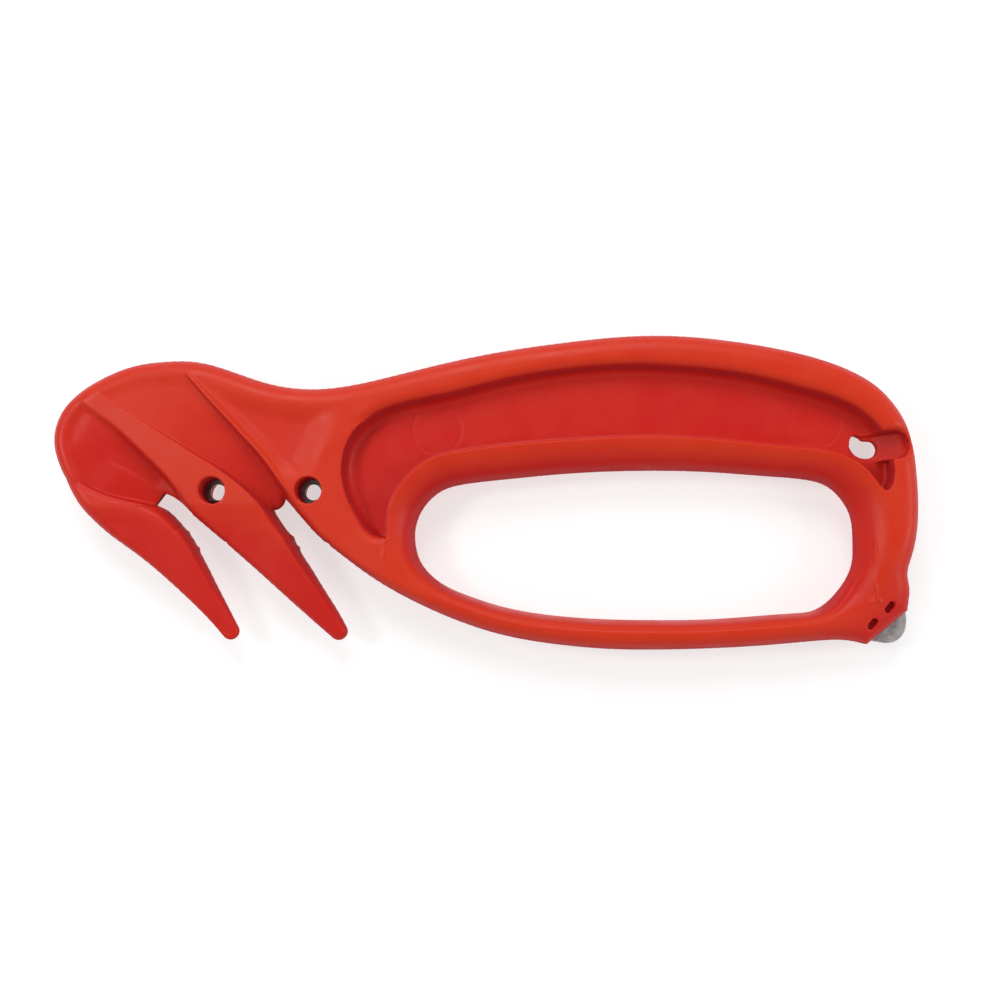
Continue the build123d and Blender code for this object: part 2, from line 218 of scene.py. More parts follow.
@dataclass
class Contour:
    """A closed outline, run anticlockwise.

    Args:
        points: The outline's points, without a repeated end.
        turn: Where the solid lies.
    """

    points: np.ndarray
    turn: Turn
    _tree: KDTree | None = field(default=None, repr=False)

    def __post_init__(self) -> None:
        """Run the outline anticlockwise."""
        x, y = self.points.T
        if (x * np.roll(y, -1) - np.roll(x, -1) * y).sum() < 0:
            self.points = self.points[::-1]

    def respaced(self, spacing: float, corner: float = 0.42) -> "Contour":
        """Return the outline with even spacing that keeps its corners.

        Args:
            spacing: Distance between points.
            corner: Turn in radians over a millimetre that counts as a corner.

        Returns:
            The respaced outline.
        """
        dense = self._even(0.1)
        ahead = np.roll(dense, -5, axis=0) - dense
        behind = dense - np.roll(dense, 5, axis=0)
        turn = np.abs(
            np.arctan2(
                behind[:, 0] * ahead[:, 1] - behind[:, 1] * ahead[:, 0],
                (behind * ahead).sum(axis=1),
            )
        )
        peaks = [
            i
            for i in range(len(dense))
            if turn[i] > corner and turn[i] >= max(turn[(i + k) % len(dense)] for k in range(-6, 7))
        ]
        corners: list[int] = []
        for i in peaks:
            if not corners or i - corners[-1] > 6:
                corners.append(i)
        if not corners:
            return Contour(self._even(spacing), self.turn)
        rows: list[np.ndarray] = []
        for a, b in zip(corners, corners[1:] + [corners[0] + len(dense)]):
            run = dense[np.arange(a, b + 1) % len(dense)]
            count = max(1, round((b - a) * 0.1 / spacing))
            at = np.linspace(0, len(run) - 1, count + 1)[:-1]
            rows.append(np.column_stack([np.interp(at, np.arange(len(run)), run[:, k]) for k in (0, 1)]))
        return Contour(np.vstack(rows), self.turn)

    def _even(self, spacing: float) -> np.ndarray:
        """Return points spaced evenly round the outline."""
        closed = np.vstack([self.points, self.points[:1]])
        length = np.concatenate([[0.0], np.cumsum(np.linalg.norm(np.diff(closed, axis=0), axis=1))])
        count = max(12, round(length[-1] / spacing))
        at = np.linspace(0.0, length[-1], count + 1)[:-1]
        return np.column_stack([np.interp(at, length, closed[:, k]) for k in (0, 1)])

    def normals(self) -> np.ndarray:
        """Return a unit normal at each point, into the solid."""
        way = np.roll(self.points, -1, axis=0) - np.roll(self.points, 1, axis=0)
        way /= np.linalg.norm(way, axis=1)[:, None]
        return np.column_stack([-way[:, 1], way[:, 0]]) * self.turn.value

    def distance(self, points: np.ndarray) -> np.ndarray:
        """Return each point's distance to the outline."""
        if self._tree is None:
            dense = self._even(0.12)
            self._tree = KDTree(len(dense))
            for i, (x, y) in enumerate(dense):
                self._tree.insert((x, y, 0.0), i)
            self._tree.balance()
        return np.array([self._tree.find((x, y, 0.0))[2] for x, y in points])

    def encloses(self, points: np.ndarray) -> np.ndarray:
        """Return whether the outline goes round each point."""
        inside = np.zeros(len(points), bool)
        x, y = points.T
        for (ax, ay), (bx, by) in zip(self.points, np.roll(self.points, -1, axis=0)):
            if ay == by:
                continue
            crosses = (ay > y) != (by > y)
            inside ^= crosses & (x < (bx - ax) * (y - ay) / (by - ay) + ax)
        return inside

    def signed(self, points: np.ndarray) -> np.ndarray:
        """Return each point's distance to the outline, positive inside it."""
        return self.distance(points) * np.where(self.encloses(points), 1.0, -1.0)

    def rings(self, offsets: Iterable[float]) -> np.ndarray:
        """Return rows of points along the outline, offset into the solid, without those that crowd.

        Args:
            offsets: Distances from the outline, positive into the solid.

        Returns:
            The points of all rows.
        """
        rows: list[np.ndarray] = []
        for offset in offsets:
            moved = self.points + self.normals() * offset
            clear = self.distance(moved) > 0.93 * abs(offset)
            rows.append(moved[clear])
        return np.vstack(rows)


# ------------------------------------------------------------------------------------ the frame's outlines
def section(node: str, level: float) -> list[np.ndarray]:
    """Cut a CAD node level.

    Args:
        node: The node's name.
        level: Height of the cut in millimetres.

    Returns:
        The cut's closed outlines, longest first.
    """
    mesh = bmesh.new()
    mesh.from_mesh(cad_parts[node].data)
    bmesh.ops.remove_doubles(mesh, verts=mesh.verts, dist=1e-6)
    everything = mesh.verts[:] + mesh.edges[:] + mesh.faces[:]
    bmesh.ops.bisect_plane(
        mesh, geom=everything, plane_co=(0, 0, level * MM), plane_no=(0, 0, 1), clear_inner=True, clear_outer=True
    )
    loops: list[np.ndarray] = []
    mesh.verts.index_update()
    seen: set[int] = set()
    for start in mesh.verts:
        if start.index in seen:
            continue
        loop, current = [], start
        while current is not None:
            seen.add(current.index)
            loop.append((current.co.x / MM, current.co.y / MM))
            beside = (edge.other_vert(current) for edge in current.link_edges)
            current = next((vert for vert in beside if vert.index not in seen), None)
        if len(loop) > 2:
            loops.append(np.array(loop))
    mesh.free()
    return sorted(loops, key=lambda loop: -np.ptp(loop, axis=0).sum())


@dataclass
class Plan:
    """The body's outlines and the places that its features are set out from."""

    section_rise: float = 0.65
    panel_level: float = 12.0
    pin_hole_width: float = 6.0
    nib_width: float = 0.45

    def __post_init__(self) -> None:
        """Cut the body and sort its outlines."""
        low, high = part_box("moulded_body")
        self.middle = (low.z + high.z) / 2 / MM
        self.top = (high.z - low.z) / 2 / MM
        loops = section("moulded_body", self.middle + self.section_rise)
        self.rim = Contour(loops[0], Turn.SOLID_INSIDE)
        self.loop = Contour(loops[1], Turn.SOLID_OUTSIDE)
        small = loops[2:]
        holes = [loop for loop in small if abs(np.ptp(loop[:, 0]) - self.pin_hole_width) < 0.3]
        holes.sort(key=lambda loop: loop[:, 0].mean())
        self.pins = [Contour(loop, Turn.SOLID_OUTSIDE) for loop in holes[:2]]
        pegs = [loop for loop in small if loop[:, 1].mean() < self.loop.points[:, 1].mean()]
        self.pegs = [Contour(loop, Turn.SOLID_OUTSIDE) for loop in pegs]
        self.front_pin = self.pins[0].points.mean(axis=0)
        self.rear_pin = self.pins[1].points.mean(axis=0)
        self.loop_low = self.loop.points.min(axis=0)
        self.loop_high = self.loop.points.max(axis=0)
        self.loop_middle = (self.loop_low + self.loop_high) / 2
        recess = section("moulded_body", self.panel_level)
        inner = [loop for loop in recess if self._is_panel(loop)]
        self.panel_and_slot = Contour(inner[0], Turn.SOLID_OUTSIDE)

    def _is_panel(self, loop: np.ndarray) -> bool:
        """Return whether a cut loop is the recess above the finger loop."""
        return loop[:, 1].max() < self.rim.points[:, 1].max() - 3.0 and loop[:, 1].max() > self.loop_high[1] + 9.0 and np.ptp(loop[:, 0]) > 60.0

    def head(self, x: float, y: float) -> Point:
        """Return a place set out from the front pin hole."""
        return (self.front_pin[0] + x, self.front_pin[1] + y)

    def tail(self, x: float, y: float) -> Point:
        """Return a place set out from the loop's rear end and its middle line."""
        return (self.loop_high[0] + x, (self.loop_low[1] + self.loop_high[1]) / 2 + y)

    def bow(self, x: float, y: float) -> Point:
        """Return a place set out from the loop's front end and its middle line."""
        return (self.loop_low[0] + x, (self.loop_low[1] + self.loop_high[1]) / 2 + y)

    def centreline_y(self) -> float:
        """Return the height of the loop's middle line."""
        return (self.loop_low[1] + self.loop_high[1]) / 2


# ------------------------------------------------------------------------------------ the faces' relief
@dataclass
class HeadRelief:
    """Ridges, scoops and tines of the head. Places are set out from the front pin hole."""

    plan: Plan
    scoop_rim_depth: float = 0.55
    throat_half: float = 1.3
    bead_height: float = 0.7
    bead_width: float = 0.45
    dish_depth: float = 1.2
    plate_step: float = 0.4
    tip_half: float = 2.3
    slope_top: float = -3.0
    slope_foot: float = -31.4
    facet_slope: float = 0.85
    shoulder: float = 0.9
    shoulder_run: float = 4.0
    bar_fall: float = 0.11
    bar_left: tuple[Point, ...] = ((-28.4, 19.8), (-21.8, 15.0), (-16.3, 9.9), (-10.3, 3.9), (-7.0, -0.7), (-4.0, -5.4))
    bar_right: tuple[Point, ...] = (
        (-26.5, 22.4),
        (-16.8, 16.2),
        (-5.0, 8.7),
        (2.0, 4.3),
        (8.1, -0.6),
        (12.6, -5.8),
        (17.1, -12.9),
        (21.6, -20.2),
        (27.5, -29.0),
    )
    bead: tuple[Point, ...] = ((-6.3, 27.0), (-0.6, 20.5), (5.9, 13.5), (11.6, 7.3), (16.4, 0.6), (17.6, -1.6))
    slot_line: tuple[Point, ...] = ((-14.0, 0.6), (-11.0, -2.0), (-2.0, -10.5), (14.0, -31.0))
    tine_top: tuple[Point, ...] = ((-30.0, 1.7), (-24.0, -1.1), (-17.2, -2.9), (-11.8, -4.0))
    plate_edge: tuple[Point, ...] = ((-22.8, 6.3), (-18.1, 3.7), (-13.6, 0.8), (-10.9, -0.5))
    tine_crest: tuple[Point, ...] = ((-13.0, -1.5), (-9.9, -5.2), (-6.3, -11.6), (-3.4, -17.5), (1.0, -25.3), (3.4, -29.9))
    hump: tuple[Point, ...] = ((27.5, 21.0), (24.6, 12.0), (20.4, 3.0), (19.5, -1.0))

    def __post_init__(self) -> None:
        """Set the creases out on the body."""
        self.left = self.set_out(self.bar_left)
        self.right = self.set_out(self.bar_right)
        self.bead_line = self.set_out(self.bead)
        self.top_of_tine = self.set_out(self.tine_top)
        self.plate = self.set_out(self.plate_edge)
        self.crest = self.set_out(self.tine_crest)
        self.slot_between = self.set_out(self.slot_line)
        self.neck = self.set_out(self.hump)

    def set_out(self, points: Sequence[Point]) -> Crease:
        """Return the crease through places set out from the front pin hole."""
        return Crease.through([self.plan.head(*point) for point in points])

    def rows(self) -> list[np.ndarray]:
        """Return rows of mesh points beside the creases."""
        fine = (-1.3, -0.9, -0.6, -0.3, 0.0, 0.3, 0.6, 0.9, 1.3)
        return [
            self.right.beside((-0.9, -0.45, -0.15, 0.0, 0.2, 0.45, 0.75, 1.1, 1.6, 2.2), 0.45),
            self.bead_line.beside((-0.9, -0.6, -0.3, 0.0, 0.3, 0.6, 0.95, 1.35, 1.9, 2.6), 0.45),
            self.left.beside((0.9, 0.45, 0.15, -0.15, -0.45, -0.8, -1.3, -2.0), 0.45),
            self.top_of_tine.beside(fine, 0.5),
            self.plate.beside(fine, 0.5),
            self.crest.beside(fine, 0.5),
        ]

    def height(self, points: np.ndarray, to_rim: np.ndarray) -> np.ndarray:
        """Return the head's half thickness, with its outer edge still square.

        Args:
            points: Rows of x and y.
            to_rim: Each point's distance to the outer outline.

        Returns:
            The half thickness at each point.
        """
        top = self.plan.top
        v = points[:, 1] - self.plan.front_pin[1]
        u = points[:, 0] - self.plan.front_pin[0]
        from_right, along_right = self.right.measure(points)
        from_left, along_left = self.left.measure(points)
        from_bead, along_bead = self.bead_line.measure(points)
        from_tine, _ = self.top_of_tine.measure(points)
        from_plate, along_plate = self.plate.measure(points)
        from_crest, _ = self.crest.measure(points)
        from_neck, along_neck = self.neck.measure(points)
        from_slot, _ = self.slot_between.measure(points)

        thin = (top - self.tip_half) * np.clip((self.slope_top - v) / (self.slope_top - self.slope_foot), 0.0, 1.3)
        body = np.full(len(points), top - 0.25)

        # The neck is dished between the bead, the rim and the hump.
        dish = ease(0.3, 3.6, from_bead) * ease(3.2, 8.5, to_rim) * ease(-2.5, 4.5, -from_neck)
        body = body - self.dish_depth * dish * ease(-6.0, 2.0, v)
        body = body + 0.25 * bell(from_neck, 5.0) * ease(0.0, 0.3, along_neck)
        body = body + self.bead_height * bell(from_bead - 0.2, self.bead_width) * ease(0.0, 0.12, along_bead) * ease(1.02, 0.93, along_bead)

        # The bar between the scoops, which runs on as the rear tine.
        on_bar = ease(0.8, -0.8, from_right)
        body = body - on_bar * self.bar_fall * np.clip(-from_right, 0.0, 9.0)

        # The rear scoop runs down to its throat.
        past = np.clip((u + v * -1.0 + 42.0) / 59.0, 0.0, 1.0)
        rear_drop = self.scoop_rim_depth + (top - 0.25 - self.throat_half - self.scoop_rim_depth) * past**2.2
        inside = lower_of(from_right / (0.2 + 0.16 * rear_drop), -from_bead / (0.45 + 0.3 * rear_drop), 0.3)
        inside = lower_of(inside, (to_rim - 1.3) / 5.0 + 3.0 * ease(12.0, 4.0, v), 0.3)
        facing = ease(-9.5, -6.5, v + 0.25 * (u - 12.0))
        body = body - ease(0.0, 1.0, inside) * facing * rear_drop

        # The front scoop, with a thin plate standing off its floor.
        run = np.clip(((u + 31.0) * 17.8 + (10.4 - v) * 12.0) / (17.8**2 + 12.0**2), 0.0, 1.0)
        front_drop = self.scoop_rim_depth + 0.3 + (top - 0.25 - self.throat_half - self.scoop_rim_depth - 0.3) * run**1.25
        front_drop = front_drop - self.plate_step * ease(0.45, -0.25, from_plate) * ease(-0.25, 0.2, along_plate)
        inside = lower_of(-from_left / (1.6 + 0.12 * front_drop), from_tine / (0.25 + 0.14 * front_drop), 0.3)
        inside = lower_of(inside, (to_rim - 1.6) / 3.4 + 3.0 * ease(-22.0, -16.0, u), 0.3)
        body = body - ease(0.0, 1.0, inside) * front_drop

        # The tines fall away from their crests towards the slots and thin to their tips.
        on_front_tine = ease(0.3, -0.3, from_tine) * ease(0.4, -0.4, from_slot)
        body = body - on_front_tine * self.shoulder * (1.0 - quarter(-from_tine / self.shoulder_run))
        beyond = np.clip(from_crest, 0.0, 5.0)
        side = np.clip(-from_crest, 0.0, 9.0)
        body = body - on_front_tine * (self.facet_slope * beyond + 0.06 * side) * ease(-3.0, -8.0, v)
        on_rear_facet = ease(-4.0, -9.0, v) * ease(-0.3, 0.5, from_right) * ease(45.0, 38.0, u)
        near_tine = ease(6.5, 5.0, np.abs(from_right))
        body = body - on_rear_facet * near_tine * self.facet_slope * np.clip(from_right, 0.0, 5.0)
        slope = thin * np.where(u < 36.0, ease(8.0, 5.5, from_right), 0.0)
        return np.maximum(body - slope, 0.9)


@dataclass
class PanelRelief:
    """The long recess beside the finger loop and the marks on its web."""

    plan: Plan
    web_half: float = 1.5
    wall_run: float = 0.35
    soft_edge: float = 2.0
    crisp_edge: float = 0.45
    floor_radius: float = 2.3
    loop_floor_radius: float = 0.7
    corner: Point = (2.0, 18.4)
    mark_radius: float = 5.5
    mark_depth: float = 0.10
    marks: tuple[Point, ...] = ((-44.5, 26.1), (40.9, 27.5))

    def edge_table(self, edge: float, foot: float) -> tuple[np.ndarray, np.ndarray]:
        """Return distances and shares of the drop across the wall.

        Args:
            edge: Radius of the wall's top edge.
            foot: Radius at the wall's foot.

        Returns:
            The distances into the recess and the share of the drop at each.
        """
        depth = self.plan.top - self.web_half
        angle = np.linspace(0.0, math.pi / 2, 7)
        top_x, top_y = -edge + edge * np.sin(angle), edge * 0.8 * (1.0 - np.cos(angle))
        low_x = self.wall_run + foot * (1.0 - np.cos(angle))
        low_y = depth - foot + foot * np.sin(angle)
        return np.concatenate([top_x, low_x]), np.concatenate([top_y, low_y]) / depth

    def offsets(self) -> list[float]:
        """Return the distances of the mesh rows into the recess."""
        return [-2.0, -1.5, -1.0, -0.7, -0.45, -0.3, -0.15, 0.0, 0.12, 0.24, 0.35, 0.42, 0.55, 0.75, 1.0, 1.3, 1.65, 2.1, 2.6]

    def share(self, points: np.ndarray, inside: np.ndarray, to_rim: np.ndarray, to_loop: np.ndarray) -> np.ndarray:
        """Return how far down the recess each point lies, from 0 at its edge to 1 on the web.

        Args:
            points: Rows of x and y.
            inside: Distance into the recess.
            to_rim: Distance to the outer outline.
            to_loop: Distance to the loop.

        Returns:
            The share of the drop at each point.
        """
        soft = np.interp(inside, *self.edge_table(self.soft_edge, self.floor_radius))
        crisp = np.interp(inside, *self.edge_table(self.crisp_edge, self.floor_radius))
        low = np.interp(inside, *self.edge_table(self.crisp_edge, self.loop_floor_radius))
        weight = ease(10.0, 7.5, to_rim - np.clip(inside, 0.0, None))
        outer = crisp + (soft - crisp) * weight
        corner = np.array(self.plan.tail(*self.corner))
        in_corner = ease(0.0, 2.0, points[:, 0] - corner[0]) * ease(2.0, 0.0, points[:, 1] - corner[1])
        return outer + (low - outer) * np.maximum(ease(-0.5, 2.0, to_rim - to_loop), in_corner)

    def marked(self, points: np.ndarray, height: np.ndarray, inside: np.ndarray) -> np.ndarray:
        """Return the height with the ejector marks on the web added."""
        for x, y in self.marks:
            centre = np.array([self.plan.loop_middle[0] + x, self.plan.loop_middle[1] + y])
            gap = np.linalg.norm(points - centre, axis=1) - self.mark_radius
            height = height - self.mark_depth * bell(gap, 0.22) * ease(1.2, 2.2, inside) - 0.03 * ease(0.1, -0.3, gap) * ease(1.2, 2.2, inside)
        return height

    def mark_rows(self) -> list[np.ndarray]:
        """Return rings of mesh points round the ejector marks."""
        rows = []
        turn = np.linspace(0.0, 2 * math.pi, 90, endpoint=False)
        for x, y in self.marks:
            centre = np.array([self.plan.loop_middle[0] + x, self.plan.loop_middle[1] + y])
            for r in (-0.4, -0.2, 0.0, 0.2, 0.4):
                rows.append(centre + (self.mark_radius + r) * np.column_stack([np.cos(turn), np.sin(turn)]))
        return rows


@dataclass
class LanyardSlot:
    """The slot across the tail, its ramp and its two-lobed eye. Places are set out from the loop's rear end."""

    plan: Plan
    middle: Point = (4.9, 21.9)
    length: float = 13.2
    width: float = 6.2
    tilt: float = 5.0
    ramp_foot: float = -1.0
    ramp_run: float = 6.6
    foot_half: float = 0.6
    head_half: float = 3.2
    wall: float = 0.35
    eye_middle: Point = (2.0, 22.2)
    eye_reach: tuple[Point, ...] = (
        (-1.85, 2.60), (-1.16, 2.36), (-0.70, 1.82), (-0.14, 1.42), (0.88, 1.34), (1.94, 1.18), (2.70, 0.63),
        (3.17, -0.35), (3.00, -1.32), (2.45, -2.08), (1.52, -2.55), (0.24, -2.60), (-1.03, -2.26),
        (-2.10, -1.49), (-2.86, -0.35), (-3.24, 0.93), (-3.00, 1.90), (-2.52, 2.42),
    )

    def frame_of(self, points: np.ndarray) -> tuple[np.ndarray, np.ndarray]:
        """Return points along and across the slot."""
        offset = points - np.array(self.plan.tail(*self.middle))
        c, s = math.cos(math.radians(self.tilt)), math.sin(math.radians(self.tilt))
        return offset[:, 0] * c + offset[:, 1] * s, -offset[:, 0] * s + offset[:, 1] * c

    def inside(self, points: np.ndarray) -> np.ndarray:
        """Return each point's distance into the slot, negative outside."""
        along, across = self.frame_of(points)
        straight = self.length / 2 - self.width / 2
        out = np.abs(along) - straight
        return self.width / 2 - np.hypot(np.clip(out, 0.0, None), across)

    def floor(self, points: np.ndarray) -> np.ndarray:
        """Return the slot's floor, a ramp that rises from the web to the tail."""
        along, _ = self.frame_of(points)
        share = np.clip((along - self.ramp_foot) / self.ramp_run, 0.0, 1.0)
        return self.foot_half + (self.head_half - self.foot_half) * share

    def eye(self) -> Contour:
        """Return the outline of the eye through the web."""
        middle = np.array(self.plan.tail(*self.eye_middle))
        reach = [self.eye_reach[-1], *self.eye_reach, *self.eye_reach[:2]]
        curve = smooth_line(reach, 4)[4 : 4 + 4 * len(self.eye_reach)]
        return Contour(middle + curve[::-1], Turn.SOLID_OUTSIDE)

    def rows(self) -> list[np.ndarray]:
        """Return rings of mesh points along the slot's edge."""
        centre = np.array(self.plan.tail(*self.middle))
        c, s = math.cos(math.radians(self.tilt)), math.sin(math.radians(self.tilt))
        straight = self.length / 2 - self.width / 2
        rows = []
        for offset in (-0.4, -0.2, 0.0, 0.15, 0.3, 0.5, 0.8, 1.2):
            radius = self.width / 2 - offset
            for side in (1, -1):
                turn = np.radians(np.linspace(-90, 90, 26)) 
                arc = np.column_stack([side * (straight + radius * np.cos(turn)), radius * np.sin(turn)])
                rows.append(arc)
            run = np.linspace(-straight, straight, 18)[1:-1]
            rows.append(np.column_stack([run, np.full(len(run), radius)]))
            rows.append(np.column_stack([run, np.full(len(run), -radius)]))
        placed = np.vstack(rows)
        return [centre + np.column_stack([placed[:, 0] * c - placed[:, 1] * s, placed[:, 0] * s + placed[:, 1] * c])]


@dataclass
class TailBoss:
    """The wedge at the tail's lower corner that holds the splitter, and the gate marks by it."""

    plan: Plan
    edge_from: Point = (11.7, -14.7)
    edge_to: Point = (2.6, -22.3)
    edge_half: float = 4.2
    run: float = 12.7
    scars: tuple[tuple[float, float, float, float, float], ...] = (
        (3.6, -0.9, 91.0, 5.6, 0.28),
        (3.6, -9.6, 95.0, 2.4, 0.45),
        (2.9, -12.6, 60.0, 1.0, 0.42),
        (4.4, -12.4, 125.0, 1.0, 0.42),
    )
    toe_scars: tuple[tuple[float, float, float, float, float], ...] = (
        (-5.6, 0.7, 70.0, 1.0, 0.25),
        (-6.1, -2.0, 80.0, 2.2, 0.10),
        (-10.0, 3.1, 10.0, 0.4, 0.18),
        (-8.6, 2.2, 40.0, 0.5, 0.22),
        (-7.0, 1.3, 0.0, 0.4, 0.20),
    )

    def height(self, points: np.ndarray) -> np.ndarray:
        """Return the boss's sloping face."""
        a, b = np.array(self.plan.tail(*self.edge_from)), np.array(self.plan.tail(*self.edge_to))
        way = (b - a) / np.linalg.norm(b - a)
        inward = np.array([way[1], -way[0]])
        depth = (points - a) @ inward
        return self.edge_half + (self.plan.top - self.edge_half) * depth / self.run

    def placed_scars(self) -> list[tuple[Point, float, float, float]]:
        """Return each mark's place, tilt, length and height."""
        marks = [(self.plan.tail(x, y), tilt, length, height) for x, y, tilt, length, height in self.scars]
        marks += [(self.plan.bow(x, y), tilt, length, height) for x, y, tilt, length, height in self.toe_scars]
        return marks

    def rows(self) -> np.ndarray:
        """Return mesh points over the marks."""
        rows: list[np.ndarray] = []
        for place, tilt, length, _ in self.placed_scars():
            c, s = math.cos(math.radians(tilt)), math.sin(math.radians(tilt))
            run = np.linspace(-length, length, max(5, int(length / 0.15)))
            for across in (-0.75, -0.5, -0.3, -0.15, 0.0, 0.15, 0.3, 0.5, 0.75):
                rows.append(np.array(place) + np.column_stack([run * c - across * s, run * s + across * c]))
        return np.vstack(rows)

    def scar_height(self, points: np.ndarray) -> np.ndarray:
        """Return the little raised marks left by the gate."""
        rise = np.zeros(len(points))
        for place, tilt, length, height in self.placed_scars():
            offset = points - np.array(place)
            c, s = math.cos(math.radians(tilt)), math.sin(math.radians(tilt))
            along, across = offset[:, 0] * c + offset[:, 1] * s, -offset[:, 0] * s + offset[:, 1] * c
            rise = rise + height * bell(across, 0.34) * bell(along, length * 0.6)
        return rise


# ------------------------------------------------------------------------------------ finishes
class Grain(Enum):
    """Scales of surface detail, in cycles per metre."""

    FLOW = 38.0
    MOTTLE = 160.0
    ORANGE_PEEL = 900.0
    DUST = 3200.0


@dataclass(frozen=True)
class NodeKit:
    """A material's node tree with short ways to add to it.

    Args:
        material: The material whose tree is built.
    """

    material: bpy.types.Material

    @classmethod
    def start(cls, name: str) -> "NodeKit":
        """Return a kit for a new material with an empty tree."""
        material = bpy.data.materials.new(name)
        material.use_nodes = True
        material.node_tree.nodes.clear()
        return cls(material)

    def node(self, kind: str, **values: object) -> bpy.types.Node:
        """Add a node.

        Args:
            kind: The node's type without its ShaderNode prefix.
            values: Attributes, or input values by socket name with _ for a space.

        Returns:
            The node.
        """
        made = self.material.node_tree.nodes.new("ShaderNode" + kind)
        for key, value in values.items():
            if hasattr(made, key):
                setattr(made, key, value)
            else:
                made.inputs[key.replace("_", " ")].default_value = value
        return made

    def link(self, source: bpy.types.NodeSocket, target: bpy.types.NodeSocket) -> None:
        """Link two sockets."""
        self.material.node_tree.links.new(source, target)

    def noise(self, coordinates: bpy.types.NodeSocket, scale: float, detail: float = 3.0, rough: float = 0.5) -> bpy.types.NodeSocket:
        """Return the value of a noise texture over the coordinates."""
        made = self.node("TexNoise", Scale=scale, Detail=detail, Roughness=rough)
        self.link(coordinates, made.inputs["Vector"])
        return made.outputs[0]

    def ranged(self, value: bpy.types.NodeSocket, low: float, high: float, to_low: float, to_high: float) -> bpy.types.NodeSocket:
        """Return a value moved from one range to another."""
        made = self.node("MapRange")
        made.interpolation_type = "SMOOTHSTEP"
        for name, number in zip(("From Min", "From Max", "To Min", "To Max"), (low, high, to_low, to_high)):
            made.inputs[name].default_value = number
        self.link(value, made.inputs["Value"])
        return made.outputs["Result"]

    def mixed(self, factor: bpy.types.NodeSocket, first: object, second: object) -> bpy.types.NodeSocket:
        """Return a colour mixed between two colours or sockets."""
        made = self.node("Mix", data_type="RGBA")
        self.link(factor, made.inputs[0])
        for socket, value in ((made.inputs[6], first), (made.inputs[7], second)):
            if isinstance(value, bpy.types.NodeSocket):
                self.link(value, socket)
            else:
                socket.default_value = (*value, 1.0)
        return made.outputs[2]

    def maths(self, operation: str, first: object, second: object) -> bpy.types.NodeSocket:
        """Return the result of a sum on two values or sockets."""
        made = self.node("Math", operation=operation)
        for socket, value in zip(made.inputs, (first, second)):
            if isinstance(value, bpy.types.NodeSocket):
                self.link(value, socket)
            else:
                socket.default_value = value
        return made.outputs[0]

    def bump(self, height: bpy.types.NodeSocket, distance: float, strength: float, after: bpy.types.NodeSocket | None = None) -> bpy.types.NodeSocket:
        """Return a normal bumped by a height.

        Args:
            height: The height to bump by.
            distance: Metres for a height of 1.
            strength: Share of the bump to use.
            after: A normal to bump further.

        Returns:
            The bumped normal.
        """
        made = self.node("Bump", Distance=distance, Strength=strength)
        self.link(height, made.inputs["Height"])
        if after is not None:
            self.link(after, made.inputs["Normal"])
        return made.outputs[0]

    def finish(self, shader: bpy.types.Node) -> bpy.types.Material:
        """Send the shader to the output and return the material."""
        output = self.node("OutputMaterial")
        self.link(shader.outputs[0], output.inputs["Surface"])
        return self.material


